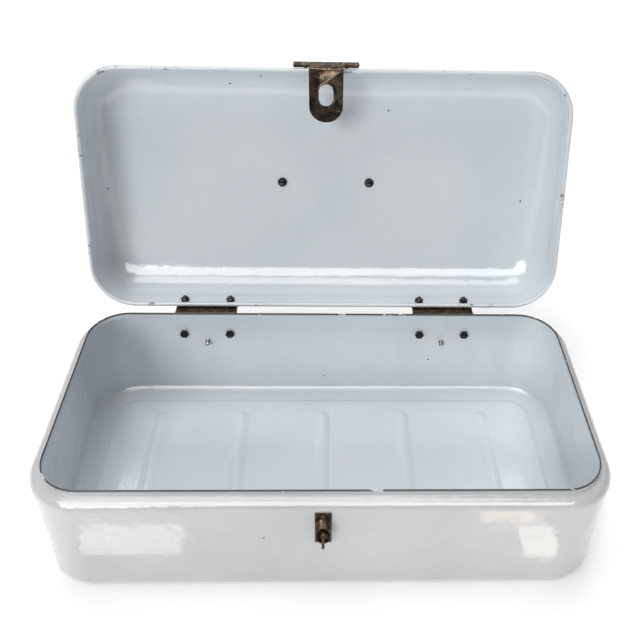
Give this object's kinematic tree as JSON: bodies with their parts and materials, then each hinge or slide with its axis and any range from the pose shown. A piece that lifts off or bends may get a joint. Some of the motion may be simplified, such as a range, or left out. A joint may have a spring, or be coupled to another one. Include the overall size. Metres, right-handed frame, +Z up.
{
  "type": "bread box",
  "caption": "Rectangular enamelled steel bread box with rounded corners, a domed rear-hinged lid standing open, a bow handle, and a slotted hasp over a turning staple.",
  "frame": {"origin": "on the table, at the centre of the open box's footprint", "axes": "+X along the box's length to its right, seen from the front; +Y to the back, where the hinges are; +Z up"},
  "size_m": [0.43, 0.3488, 0.3018],
  "materials": {
    "white_enamel": "glossy vitreous enamel, white, with chipped black edges",
    "dark_patina": "dark brown aged plating with worn bright edges",
    "worn_steel": "dull worn steel",
    "handle_black": "satin black"
  },
  "bodies": {
    "tub": {"base_tub": "white_enamel", "hinge_base_leaf_left": "dark_patina", "hinge_pin_left": "worn_steel", "base_hinge_left_low_screw": "worn_steel", "base_hinge_left_inner_screw": "worn_steel", "base_hinge_left_inner_nut": "worn_steel", "base_hinge_left_outer_screw": "worn_steel", "base_hinge_left_outer_nut": "worn_steel", "hinge_base_leaf_right": "dark_patina", "hinge_pin_right": "worn_steel", "base_hinge_right_low_screw": "worn_steel", "base_hinge_right_inner_screw": "worn_steel", "base_hinge_right_inner_nut": "worn_steel", "base_hinge_right_outer_screw": "worn_steel", "base_hinge_right_outer_nut": "worn_steel", "staple_plate": "dark_patina", "staple_screw_low": "worn_steel", "staple_screw_high": "worn_steel", "staple_nut_low": "worn_steel", "staple_nut_high": "worn_steel"},
    "lid": {"lid_shell": "white_enamel", "lid_handle": "handle_black", "handle_screw_left": "worn_steel", "handle_screw_right": "worn_steel", "hasp_leaf": "dark_patina", "hasp_rivet_left": "dark_patina", "hasp_rivet_right": "dark_patina", "hinge_lid_leaf_left": "dark_patina", "lid_hinge_left_inner_screw": "worn_steel", "lid_hinge_left_inner_nut": "worn_steel", "lid_hinge_left_outer_screw": "worn_steel", "lid_hinge_left_outer_nut": "worn_steel", "hinge_lid_leaf_right": "dark_patina", "lid_hinge_right_inner_screw": "worn_steel", "lid_hinge_right_inner_nut": "worn_steel", "lid_hinge_right_outer_screw": "worn_steel", "lid_hinge_right_outer_nut": "worn_steel"},
    "pin": {"hasp_pin": "dark_patina"},
    "strap": {"hasp_strap": "dark_patina"},
    "staple": {"turn_staple": "dark_patina"}
  },
  "joints": [
    {"name": "lid_hinge", "type": "hinge", "parent": "tub", "child": "lid", "pos_m": [0, 0.06216, 0.0886], "axis": [1, 0, 0], "range_deg": [0, 106.7]},
    {"name": "hasp_pin_turn", "type": "hinge", "parent": "lid", "child": "pin", "pos_m": [0, 0.13408, 0.29943], "axis": [-1, 0, 0], "range_deg": [0, 135]},
    {"name": "strap_swing", "type": "hinge", "parent": "pin", "child": "strap", "pos_m": [0, 0.13408, 0.29943], "axis": [1, 0, 0], "range_deg": [0, 28]},
    {"name": "staple_turn", "type": "hinge", "parent": "tub", "child": "staple", "pos_m": [0, -0.16824, 0.0728], "axis": [0, 1, 0], "range_deg": [0, 90]}
  ],
  "couplings": [
    {"joint": "hasp_pin_turn", "follows": "lid_hinge", "ratio": 1.2624}
  ]
}
